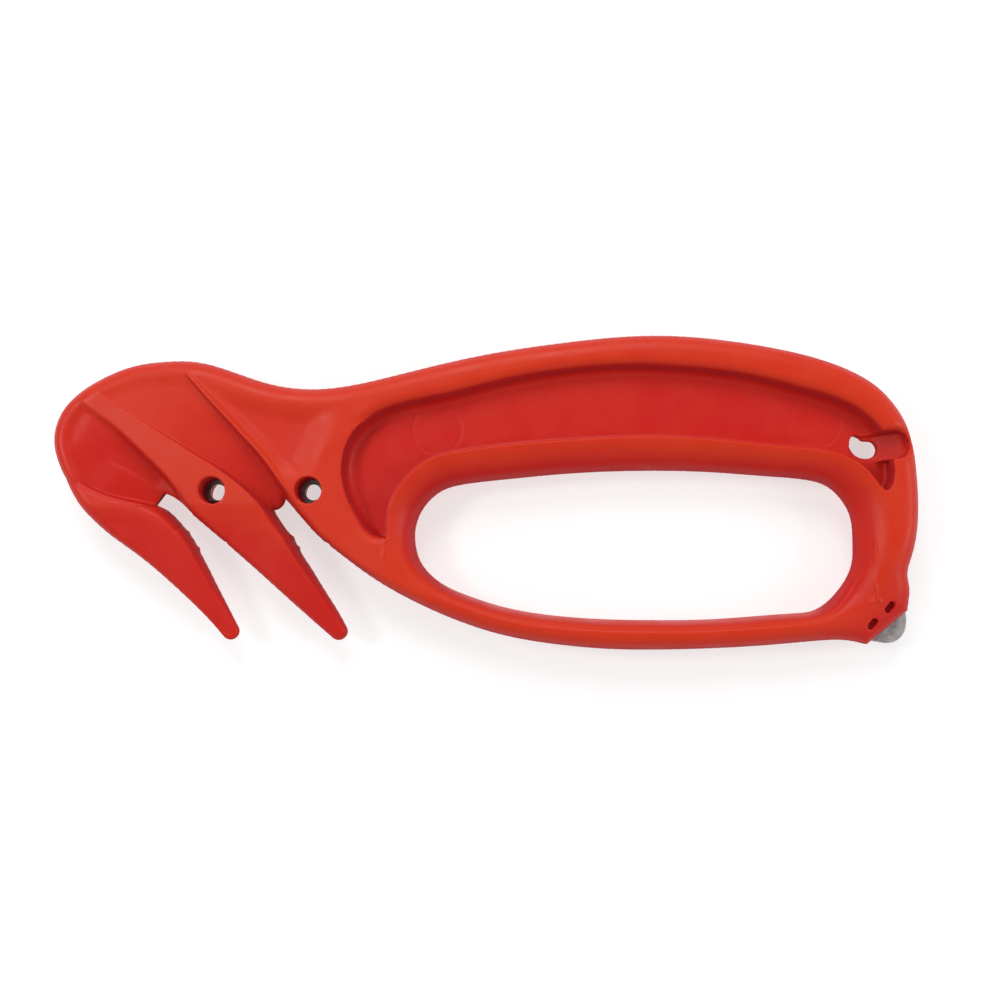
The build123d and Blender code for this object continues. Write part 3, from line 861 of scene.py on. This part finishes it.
@dataclass(frozen=True)
class MouldedPlastic:
    """Satin moulded polypropylene with flow marks, faint scuffs and a fine moulded skin, with painted shade: faces low
    near the mid-plane and steep walls are coloured darker.
    """

    name: str
    # bright and deep are the two ends of the random mottle, and also painted light and shade: high faces take bright,
    # low recessed faces take deep.
    bright: tuple[float, float, float]
    deep: tuple[float, float, float]
    # wall is a painted shade colour for steep walls.
    wall: tuple[float, float, float]
    # middle is the mid-plane height that the painted height shade is measured from.
    middle: float
    roughness: float = 0.42
    wall_roughness: float = 0.72

    def make(self) -> bpy.types.Material:
        """Return the material."""
        kit = NodeKit.start(self.name)
        place = kit.node("TexCoord").outputs["Object"]
        flow = kit.noise(place, Grain.FLOW.value, 4.0, 0.55)
        mottle = kit.noise(place, Grain.MOTTLE.value, 3.0)
        peel = kit.noise(place, Grain.ORANGE_PEEL.value, 2.0)
        dust = kit.noise(place, Grain.DUST.value, 2.0)
        tint = kit.maths("ADD", kit.maths("MULTIPLY", flow, 0.6), kit.maths("MULTIPLY", mottle, 0.4))
        lift = kit.node("SeparateXYZ")
        kit.link(place, lift.inputs[0])
        # Painted shade: the closer a face lies to the mid-plane (recessed web, slot floor, thin tines), the more it
        # takes the deep colour; high faces take the bright one.
        rise = kit.maths("ABSOLUTE", kit.maths("SUBTRACT", lift.outputs["Z"], self.middle), 0.0)
        painted_height_shade = kit.ranged(rise, 0.0040, 0.0067, 0.0, 1.0)
        mottle_and_height_shade = kit.maths("ADD", kit.maths("MULTIPLY", kit.ranged(tint, 0.36, 0.66, 0.0, 1.0), 0.25), kit.maths("MULTIPLY", painted_height_shade, 0.75))
        colour = kit.mixed(mottle_and_height_shade, self.deep, self.bright)
        stretch = kit.node("Mapping")
        stretch.inputs["Rotation"].default_value = (0.0, 0.0, 0.5)
        stretch.inputs["Scale"].default_value = (0.05, 1.0, 1.0)
        kit.link(place, stretch.inputs["Vector"])
        scuff = kit.noise(stretch.outputs[0], 1400.0, 2.0, 0.6)
        scuffed = kit.ranged(scuff, 0.64, 0.74, 0.0, 1.0)
        # Painted shade: steep walls are mixed towards the darker wall colour, except those facing +Y towards the key
        # light; the same mask raises their roughness.
        lean = kit.node("SeparateXYZ")
        kit.link(kit.node("NewGeometry").outputs["Normal"], lean.inputs[0])
        painted_wall_shade_mask = kit.ranged(kit.maths("ABSOLUTE", lean.outputs["Z"], 0.0), 0.12, 0.72, 1.0, 0.0)
        painted_wall_shade_mask = kit.maths("MULTIPLY", painted_wall_shade_mask, kit.ranged(lean.outputs["Y"], 0.80, 0.96, 1.0, 0.0))
        colour = kit.mixed(painted_wall_shade_mask, colour, self.wall)
        rough = kit.ranged(mottle, 0.3, 0.7, self.roughness - 0.05, self.roughness + 0.07)
        rough = kit.maths("ADD", rough, kit.maths("MULTIPLY", scuffed, 0.06))
        rough = kit.maths("ADD", rough, kit.maths("MULTIPLY", painted_wall_shade_mask, self.wall_roughness - self.roughness))
        normal = kit.bump(flow, 0.00025, 0.30)
        normal = kit.bump(peel, 0.00006, 0.35, normal)
        normal = kit.bump(dust, 0.000016, 0.35, normal)
        shader = kit.node("BsdfPrincipled")
        kit.link(colour, shader.inputs["Base Color"])
        kit.link(rough, shader.inputs["Roughness"])
        kit.link(normal, shader.inputs["Normal"])
        shader.inputs["IOR"].default_value = 1.49
        shader.inputs["Specular IOR Level"].default_value = 0.24
        shader.inputs["Subsurface Weight"].default_value = 0.12
        shader.inputs["Subsurface Radius"].default_value = (1.0, 0.18, 0.08)
        shader.inputs["Subsurface Scale"].default_value = 0.0012
        return kit.finish(shader)


@dataclass(frozen=True)
class GroundSteel:
    """Steel with grinding lines one way, mottled tarnish and dulled edges."""

    name: str
    bright: tuple[float, float, float]
    dull: tuple[float, float, float]
    roughness: float
    grind_angle: float
    mottle_share: float

    def make(self) -> bpy.types.Material:
        """Return the material."""
        kit = NodeKit.start(self.name)
        place = kit.node("TexCoord").outputs["Object"]
        stretch = kit.node("Mapping")
        stretch.inputs["Rotation"].default_value = (0.0, 0.0, math.radians(self.grind_angle))
        stretch.inputs["Scale"].default_value = (0.04, 1.0, 1.0)
        kit.link(place, stretch.inputs["Vector"])
        lines = kit.noise(stretch.outputs[0], 5200.0, 3.0, 0.6)
        cloud = kit.noise(place, 420.0, 4.0, 0.6)
        spots = kit.noise(place, 1500.0, 3.0, 0.6)
        tarnish = kit.maths("ADD", kit.maths("MULTIPLY", cloud, self.mottle_share), kit.maths("MULTIPLY", lines, 1.0 - self.mottle_share))
        colour = kit.mixed(kit.ranged(tarnish, 0.36, 0.64, 0.0, 1.0), self.dull, self.bright)
        speck = kit.ranged(spots, 0.60, 0.72, 0.0, 0.5)
        colour = kit.mixed(speck, colour, tuple(c * 0.55 for c in self.dull))
        rough = kit.ranged(tarnish, 0.3, 0.7, self.roughness + 0.10, self.roughness - 0.06)
        normal = kit.bump(lines, 0.000012, 0.5)
        normal = kit.bump(cloud, 0.00003, 0.4, normal)
        shader = kit.node("BsdfPrincipled")
        kit.link(colour, shader.inputs["Base Color"])
        kit.link(rough, shader.inputs["Roughness"])
        kit.link(normal, shader.inputs["Normal"])
        shader.inputs["Metallic"].default_value = 1.0
        return kit.finish(shader)


@dataclass(frozen=True)
class PaleTable:
    """A plain pale table top, lit softly from below, with the least trace of grain."""

    name: str
    colour: tuple[float, float, float]
    glow: float

    def make(self) -> bpy.types.Material:
        """Return the material."""
        kit = NodeKit.start(self.name)
        place = kit.node("TexCoord").outputs["Object"]
        grain = kit.noise(place, 900.0, 3.0)
        cloud = kit.noise(place, 6.0, 3.0)
        colour = kit.mixed(kit.ranged(cloud, 0.3, 0.7, 0.0, 1.0), self.colour, tuple(c * 0.99 for c in self.colour))
        shader = kit.node("BsdfPrincipled")
        kit.link(colour, shader.inputs["Base Color"])
        kit.link(kit.ranged(grain, 0.3, 0.7, 0.62, 0.72), shader.inputs["Roughness"])
        kit.link(kit.bump(grain, 0.00002, 0.2), shader.inputs["Normal"])
        shader.inputs["Emission Color"].default_value = (1.0, 1.0, 1.0, 1.0)
        shader.inputs["Emission Strength"].default_value = self.glow
        return kit.finish(shader)


# ------------------------------------------------------------------------------------ meshes
def thinned(points: np.ndarray, taken: np.ndarray, gap: float) -> np.ndarray:
    """Return the points that keep a gap from those already taken."""
    tree = KDTree(len(taken))
    for i, (x, y) in enumerate(taken):
        tree.insert((x, y, 0.0), i)
    tree.balance()
    near = np.array([tree.find((x, y, 0.0))[2] for x, y in points])
    return points[near > gap]


@dataclass
class TwoFacedSolid:
    """A solid with an upper and a lower face over one plan, joined by a side wall.

    Args:
        name: Name of the piece.
        outlines: The plan's outlines, the outer one first.
        rows: Rows of points to keep on the faces, with the gap that each keeps from earlier ones.
        upper: Half thickness of the upper face at given points.
        lower: Half thickness of the lower face at given points.
        middle: Height of the mid-plane.
        flash: How far the parting line stands out of the side wall.
        sliver: Twice the area below which a triangle between border points is left out.
    """

    name: str
    outlines: list[Contour]
    rows: list[tuple[np.ndarray, float]]
    upper: Callable[[np.ndarray], np.ndarray]
    lower: Callable[[np.ndarray], np.ndarray]
    middle: float
    flash: float = 0.0
    sliver: float = 0.003

    def contains(self, points: np.ndarray) -> np.ndarray:
        """Return whether each point lies on the plan."""
        inside = self.outlines[0].encloses(points)
        for hole in self.outlines[1:]:
            inside &= ~hole.encloses(points)
        return inside

    def triangles(self) -> tuple[np.ndarray, np.ndarray]:
        """Return the plan's points and its triangles, run anticlockwise."""
        border = np.vstack([outline.points for outline in self.outlines])
        points = border
        for row, gap in self.rows:
            row = row[self.contains(row)]
            if len(row):
                points = np.vstack([points, thinned(row, points, gap)])
        edges: list[tuple[int, int]] = []
        first = 0
        for outline in self.outlines:
            count = len(outline.points)
            edges += [(first + i, first + (i + 1) % count) for i in range(count)]
            first += count
        made = delaunay_2d_cdt([Vector(p) for p in points], edges, [], 0, 1e-7)
        flat = np.array([tuple(v) for v in made[0]])
        faces = np.array([face for face in made[2] if len(face) == 3])
        on_border = np.array([any(i < len(border) for i in origin) for origin in made[3]])
        doubtful = on_border[faces].all(axis=1)
        keep = np.ones(len(faces), bool)
        keep[doubtful] = self.contains(flat[faces[doubtful]].mean(axis=1))
        a, b, c = flat[faces[:, 0]], flat[faces[:, 1]], flat[faces[:, 2]]
        turn = (b - a)[:, 0] * (c - a)[:, 1] - (b - a)[:, 1] * (c - a)[:, 0]
        faces[turn < 0] = faces[turn < 0][:, ::-1]
        keep &= ~(doubtful & (np.abs(turn) < self.sliver))
        used, faces = np.unique(faces[keep], return_inverse=True)
        return flat[used], faces.reshape(-1, 3)

    def build(self) -> bpy.types.Object:
        """Make the piece's mesh object."""
        flat, faces = self.triangles()
        count = len(flat)
        top, bottom = self.upper(flat), self.lower(flat)
        used: dict[tuple[int, int], int] = {}
        for a, b, c in faces:
            for edge in ((a, b), (b, c), (c, a)):
                used[edge] = used.get(edge, 0) + 1
        border = [(int(a), int(b)) for a, b in used if (b, a) not in used]
        outward = np.zeros((count, 2))
        for a, b in border:
            way = flat[b] - flat[a]
            normal = np.array([way[1], -way[0]]) / max(np.linalg.norm(way), 1e-9)
            outward[a] += normal
            outward[b] += normal
        size = np.linalg.norm(outward, axis=1)
        outward[size > 0] /= size[size > 0][:, None]
        levels = (0.16, 0.0, -0.16)
        bulges = (0.25, 1.0, 0.25)
        rim = sorted({i for edge in border for i in edge})
        place = {vert: k for k, vert in enumerate(rim)}
        walls = [np.column_stack([flat, self.middle + top]), np.column_stack([flat, self.middle - bottom])]
        for level, bulge in zip(levels, bulges):
            at = flat[rim] + outward[rim] * self.flash * bulge
            reach = np.minimum(abs(level), 0.6 * np.minimum(top[rim], bottom[rim])) * np.sign(level)
            walls.append(np.column_stack([at, self.middle + reach]))
        verts = np.vstack(walls) * MM
        polygons: list[tuple[int, ...]] = [tuple(face) for face in faces.tolist()]
        polygons += [(c + count, b + count, a + count) for a, b, c in faces.tolist()]
        for a, b in border:
            column_a = [a] + [2 * count + k * len(rim) + place[a] for k in range(3)] + [a + count]
            column_b = [b] + [2 * count + k * len(rim) + place[b] for k in range(3)] + [b + count]
            for k in range(4):
                polygons.append((column_b[k], column_a[k], column_a[k + 1], column_b[k + 1]))
        mesh = bpy.data.meshes.new(self.name)
        mesh.from_pydata(verts.tolist(), [], polygons)
        mesh.validate()
        mesh.polygons.foreach_set("use_smooth", [True] * len(mesh.polygons))
        mesh.update()
        piece = bpy.data.objects.new(self.name, mesh)
        bpy.context.scene.collection.objects.link(piece)
        return piece


def honeycomb(low: np.ndarray, high: np.ndarray, spacing: float) -> np.ndarray:
    """Return evenly spaced points in staggered rows over a rectangle."""
    rows = np.arange(low[1], high[1], spacing * math.sqrt(3) / 2)
    points = []
    for i, y in enumerate(rows):
        x = np.arange(low[0] + (i % 2) * spacing / 2, high[0], spacing)
        points.append(np.column_stack([x, np.full(len(x), y)]))
    return np.vstack(points)


# ------------------------------------------------------------------------------------ the pieces
@dataclass
class MouldedBody:
    """The one-piece moulded handle and head.

    Args:
        plan: The body's outlines.
        finish: Its plastic.
    """

    plan: Plan
    finish: MouldedPlastic
    rim_radius: float = 3.8
    rim_side: float = 2.4
    tine_radius: float = 1.5
    loop_radius: float = 8.2
    loop_fall: float = 1.1
    tail_fall: float = 0.6
    loop_side: float = 0.55
    hole_radius: float = 0.35
    peg_floor: float = 2.6
    tail_radius: float = 9.5
    lip_from_loop: float = 1.9
    lip_depth: float = 0.2
    border_spacing: float = 0.45
    head_spacing: float = 0.55
    handle_spacing: float = 1.15
    nibs: tuple[tuple[float, float, float], ...] = ((-6.6, -8.3, 0.30), (-3.6, -12.0, 0.42), (16.9, -9.4, 0.30), (18.9, -11.9, 0.42), (2.6, -10.9, -0.22), (25.6, -11.2, -0.22))

    def __post_init__(self) -> None:
        """Set out the relief of each region and the outlines."""
        plan = self.plan
        self.head = HeadRelief(plan)
        self.panel = PanelRelief(plan)
        self.slot = LanyardSlot(plan)
        self.boss = TailBoss(plan)
        self.rim = self.with_nibs(plan.rim.respaced(self.border_spacing))
        self.loop = plan.loop.respaced(self.border_spacing + 0.1)
        self.pins = [pin.respaced(0.3) for pin in plan.pins]
        self.pegs = [peg.respaced(0.25, corner=9.0) for peg in plan.pegs]
        self.eye = self.slot.eye()
        self.recess = Contour(plan.panel_and_slot.points, Turn.SOLID_INSIDE).respaced(0.4)

    def with_nibs(self, rim: Contour) -> Contour:
        """Return the outer outline with the small cut marks on the tines' inner edges."""
        points = rim.points.copy()
        normals = rim.normals()
        for x, y, reach in self.nibs:
            gap = np.linalg.norm(points - np.array(self.plan.head(x, y)), axis=1)
            nearest = points[int(np.argmin(gap))]
            gap = np.linalg.norm(points - nearest, axis=1)
            points = points - normals * (reach * bell(gap, self.plan.nib_width))[:, None]
        return Contour(points, rim.turn)

    def height(self, points: np.ndarray, upper: bool) -> np.ndarray:
        """Return the body's half thickness.

        Args:
            points: Rows of x and y.
            upper: Whether this is the face with the gate's marks.

        Returns:
            The half thickness at each point.
        """
        plan = self.plan
        to_rim, to_loop = self.rim.distance(points), self.loop.distance(points)
        width = to_rim + to_loop
        u = points[:, 0] - plan.front_pin[0]
        v = points[:, 1] - plan.front_pin[1]
        at_head = ease(40.0, 30.0, u)
        body = np.full(len(points), plan.top)
        head = self.head.height(points, to_rim)
        body = body + (head - body) * at_head
        inside = self.recess.signed(points)
        share = self.panel.share(points, inside, to_rim, to_loop)
        panel = body - (body - self.panel.web_half) * share
        if upper:
            panel = self.panel.marked(points, panel, inside)
        in_slot = self.slot.inside(points)
        slot_floor = self.slot.floor(points)
        slot_share = ease(-0.15, self.slot.wall, in_slot)
        slot = body - (body - slot_floor) * slot_share
        over_slot = in_slot > -0.5
        beyond = points[:, 0] > plan.tail(self.slot.middle[0], 0.0)[0]
        body = np.where(over_slot & (in_slot > 0.0) & beyond, slot, np.where(over_slot, np.minimum(panel, slot), panel))
        body = np.where(over_slot, np.minimum(body, slot), body)
        body = lower_of(body, self.boss.height(points), 0.6)

        tine = ease(6.0, -14.0, v) * ease(62.0, 30.0, u)
        radius = np.clip(0.55 * width, 1.2, self.rim_radius)
        radius = np.minimum(radius + (self.tine_radius - radius) * tine, 0.5 + 0.7 * body)
        side = np.minimum(self.rim_side, 0.42 * body)
        body = side + (body - side) * quarter(to_rim / radius)
        at_tail = ease(-9.0, 3.0, points[:, 0] - plan.loop_high[0])
        radius = np.clip((0.42 + 0.18 * at_tail) * width, 1.2, self.loop_radius + (self.tail_radius - self.loop_radius) * at_tail)
        side = np.minimum(self.loop_side, 0.4 * body)
        body = side + (body - side) * quarter(to_loop / radius) ** (self.loop_fall + self.tail_fall * at_tail)
        low_bar = ease(-2.0, -9.0, points[:, 1] - plan.loop_middle[1])
        body = body - self.lip_depth * bell(to_loop - self.lip_from_loop, 0.35) * low_bar
        for peg in self.pegs:
            near = np.linalg.norm(points - peg.points.mean(axis=0), axis=1) < 3.0
            depth = ease(-0.04, 0.12, peg.signed(points[near]))
            body[near] -= (body[near] - self.peg_floor) * depth
        for hole in (*self.pins, *self.pegs):
            to_hole = np.linalg.norm(points - hole.points.mean(axis=0), axis=1)
            near = to_hole < 6.0
            body[near] -= self.hole_radius * (1.0 - quarter(hole.distance(points[near]) / self.hole_radius))
        if upper:
            body = body + self.boss.scar_height(points)
        near = self.slot.inside(points) > -1.0
        body[near] -= 0.3 * (1.0 - quarter(self.eye.distance(points[near]) / 0.35))
        return np.maximum(body, 0.35)

    def mesh_rows(self) -> list[tuple[np.ndarray, float]]:
        """Return the rows of mesh points, the ones that matter most first."""
        rim_rows = self.rim.rings((0.05, 0.16, 0.34, 0.58, 0.9, 1.3, 1.8, 2.4, 3.1, 3.9))
        loop_rows = self.loop.rings((0.06, 0.2, 0.45, 0.8, 1.2, 1.5, 1.7, 1.9, 2.1, 2.35, 2.8, 3.4, 4.2, 5.2, 6.2, 7.2, 8.2))
        rows: list[tuple[np.ndarray, float]] = [(rim_rows, 0.045), (loop_rows, 0.055)]
        for hole in (*self.pins, self.eye):
            rows.append((hole.rings((0.04, 0.12, 0.22, 0.36, 0.6)), 0.035))
        for peg in self.pegs:
            rows.append((peg.rings((-0.5, -0.2, -0.08, 0.0, 0.08, 0.2, 0.34, 0.6)), 0.05))
        rows.append((self.recess.rings(self.panel.offsets()), 0.08))
        rows.append((np.vstack(self.slot.rows()), 0.1))
        rows.append((self.boss.rows(), 0.11))
        for row in self.head.rows():
            rows.append((row, 0.14))
        rows.append((np.vstack(self.panel.mark_rows()), 0.15))
        low, high = self.rim.points.min(axis=0), self.rim.points.max(axis=0)
        split = self.plan.head(38.0, 0.0)[0]
        rows.append((honeycomb(low, np.array([split, high[1]]), self.head_spacing), 0.36))
        boss_low = np.array([self.plan.tail(-3.0, 0.0)[0], low[1]])
        boss_high = np.array([high[0], self.plan.tail(0.0, -5.0)[1]])
        rows.append((honeycomb(boss_low, boss_high, 0.5), 0.33))
        rows.append((honeycomb(np.array([split, low[1]]), high, self.handle_spacing), 0.6))
        return rows

    def build(self) -> bpy.types.Object:
        """Make and dress the body, and stand it in for its CAD node."""
        outlines = [self.rim, self.loop, *self.pins, self.eye]
        solid = TwoFacedSolid(
            name="body_moulding",
            outlines=outlines,
            rows=self.mesh_rows(),
            upper=lambda points: self.height(points, True),
            lower=lambda points: self.height(points, False),
            middle=self.plan.middle,
            flash=0.07,
        )
        piece = solid.build()
        piece.data.materials.append(self.finish.make())
        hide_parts("moulded_body")
        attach(piece, "root")
        return piece


@dataclass
class SteelPlate:
    """A flat steel part with its edges eased or ground.

    Args:
        node: The CAD node that it stands for.
        name: Name of the piece.
        slot: Material slot; not used.
        finish: Its steel.
        bevel: Width of the ground or eased edge.
        edge_share: Share of the thickness left at the edge.
    """

    node: str
    name: str
    slot: str
    finish: GroundSteel
    bevel: float
    edge_share: float
    spacing: float = 0.35

    def build(self) -> bpy.types.Object:
        """Make and dress the plate, and stand it in for its CAD node."""
        low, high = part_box(self.node)
        middle = (low.z + high.z) / 2 / MM
        half = (high.z - low.z) / 2 / MM
        loops = section(self.node, middle + half * 0.3)
        outer = Contour(loops[0], Turn.SOLID_INSIDE).respaced(self.spacing)
        holes = [Contour(loop, Turn.SOLID_OUTSIDE).respaced(self.spacing) for loop in loops[1:]]

        def height(points: np.ndarray) -> np.ndarray:
            """Return the plate's half thickness."""
            share = self.edge_share + (1.0 - self.edge_share) * np.clip(outer.distance(points) / self.bevel, 0.0, 1.0)
            return half * share

        rows = [(outer.rings((self.bevel * 0.35, self.bevel * 0.7, self.bevel, self.bevel + 0.12)), 0.08)]
        rows.append((honeycomb(outer.points.min(axis=0), outer.points.max(axis=0), 0.6), 0.3))
        solid = TwoFacedSolid(self.name, [outer, *holes], rows, height, height, middle)
        piece = solid.build()
        for polygon in piece.data.polygons:
            polygon.use_smooth = False
        piece.data.materials.append(self.finish.make())
        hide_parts(self.node)
        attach(piece, "root")
        return piece


# ------------------------------------------------------------------------------------ the studio
@dataclass(frozen=True)
class SoftBox:
    """A square area light.

    Args:
        name: Name of the light.
        place: Where it stands, in metres.
        aim: The point that it faces, in metres.
        size: Its width in metres.
        power: Its power in watts.
    """

    name: str
    place: tuple[float, float, float]
    aim: tuple[float, float, float]
    size: float
    power: float

    def build(self) -> None:
        """Stand the light in the scene."""
        data = bpy.data.lights.new(self.name, "AREA")
        data.shape = "SQUARE"
        data.size = self.size
        data.energy = self.power
        light = bpy.data.objects.new(self.name, data)
        light.location = self.place
        light.rotation_euler = (Vector(self.aim) - Vector(self.place)).to_track_quat("-Z", "Y").to_euler()
        bpy.context.scene.collection.objects.link(light)


@dataclass
class Studio:
    """The pale table, the soft lights and the camera over it."""

    table: PaleTable
    table_size: float = 12.0
    camera_place: tuple[float, float, float] = (0.0155, -0.0230, 0.27175)
    view_width: float = 0.22674
    view_centre: tuple[float, float] = (0.0030, -0.0014)
    sensor: float = 36.0
    air: tuple[tuple[float, float], ...] = ((0.05, 0.40), (0.35, 0.66), (0.65, 0.66), (0.95, 0.32))
    lights: tuple[SoftBox, ...] = (
        SoftBox("key_light", (-0.10, 0.75, 0.80), (0.0, 0.0, 0.0), 0.50, 4.9),
        SoftBox("left_light", (-0.60, 0.12, 0.75), (0.0, 0.0, 0.0), 0.20, 2.45),
        SoftBox("right_light", (0.70, 0.00, 0.45), (0.0, 0.0, 0.0), 0.30, 1.5),
    )

    def build(self, height: float) -> None:
        """Set the studio up.

        Args:
            height: Height of the body's mid-plane in metres.
        """
        mesh = bpy.data.meshes.new("table_top")
        half = self.table_size / 2
        mesh.from_pydata([(-half, -half, 0.0), (half, -half, 0.0), (half, half, 0.0), (-half, half, 0.0)], [], [(0, 1, 2, 3)])
        floor = bpy.data.objects.new("table_top", mesh)
        floor.location.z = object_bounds()[0][2] - 0.00005
        floor.data.materials.append(self.table.make())
        bpy.context.scene.collection.objects.link(floor)
        floor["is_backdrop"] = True
        self.light_air()
        bpy.context.scene.view_settings.view_transform = "Standard"
        for light in self.lights:
            light.build()
        data = bpy.data.cameras.new("camera")
        distance = self.camera_place[2] - height
        data.sensor_width = self.sensor
        data.lens = self.sensor * distance / self.view_width
        data.shift_x = (self.view_centre[0] - self.camera_place[0]) / self.view_width
        data.shift_y = (self.view_centre[1] - self.camera_place[1]) / self.view_width
        camera = bpy.data.objects.new("camera", data)
        camera.location = self.camera_place
        bpy.context.scene.collection.objects.link(camera)
        bpy.context.scene.camera = camera

    def light_air(self) -> None:
        """Fill the studio with light that is brightest halfway up its walls."""
        world = bpy.data.worlds.new("studio_air")
        world.use_nodes = True
        tree = world.node_tree
        place = tree.nodes.new("ShaderNodeTexCoord")
        split = tree.nodes.new("ShaderNodeSeparateXYZ")
        fade = tree.nodes.new("ShaderNodeValToRGB")
        ramp = fade.color_ramp
        while len(ramp.elements) < len(self.air):
            ramp.elements.new(0.5)
        for element, (height, strength) in zip(ramp.elements, self.air):
            element.position = height
            element.color = (strength, strength, strength, 1.0)
        tree.links.new(place.outputs["Generated"], split.inputs[0])
        tree.links.new(split.outputs["Z"], fade.inputs[0])
        tree.links.new(fade.outputs[0], tree.nodes["Background"].inputs["Color"])
        bpy.context.scene.world = world


def main() -> None:
    """Build the cutter's pieces and the studio, and log each piece's face count."""
    logging.basicConfig(level=logging.INFO, format="%(name)s: %(message)s")
    plan = Plan()
    blade_steel = GroundSteel("blade_steel", (0.30, 0.29, 0.28), (0.12, 0.11, 0.11), 0.30, 20.0, 0.35)
    splitter_steel = GroundSteel("splitter_steel", (0.56, 0.52, 0.52), (0.28, 0.25, 0.25), 0.46, 65.0, 0.75)
    # The plastic's deep colour and its wall colour carry painted shade.
    plastic = MouldedPlastic("body_plastic", (0.585, 0.030, 0.006), (0.53, 0.010, 0.006), (0.43, 0.014, 0.017), plan.middle * MM)
    makers = [
        MouldedBody(plan, plastic),
        SteelPlate("front_hook_blade", "front_blade", "blade_steel", blade_steel, 0.7, 0.12),
        SteelPlate("rear_hook_blade", "rear_blade", "blade_steel", blade_steel, 0.7, 0.12),
        SteelPlate("tape_splitter", "splitter_plate", "splitter_steel", splitter_steel, 0.3, 0.55),
    ]
    for maker in makers:
        piece = maker.build()
        log.info("%s: %d faces", piece.name, len(piece.data.polygons))
    Studio(PaleTable("pale_table", (0.42, 0.42, 0.42), 0.60)).build(plan.middle * MM)


if __name__ == "__main__":
    main()
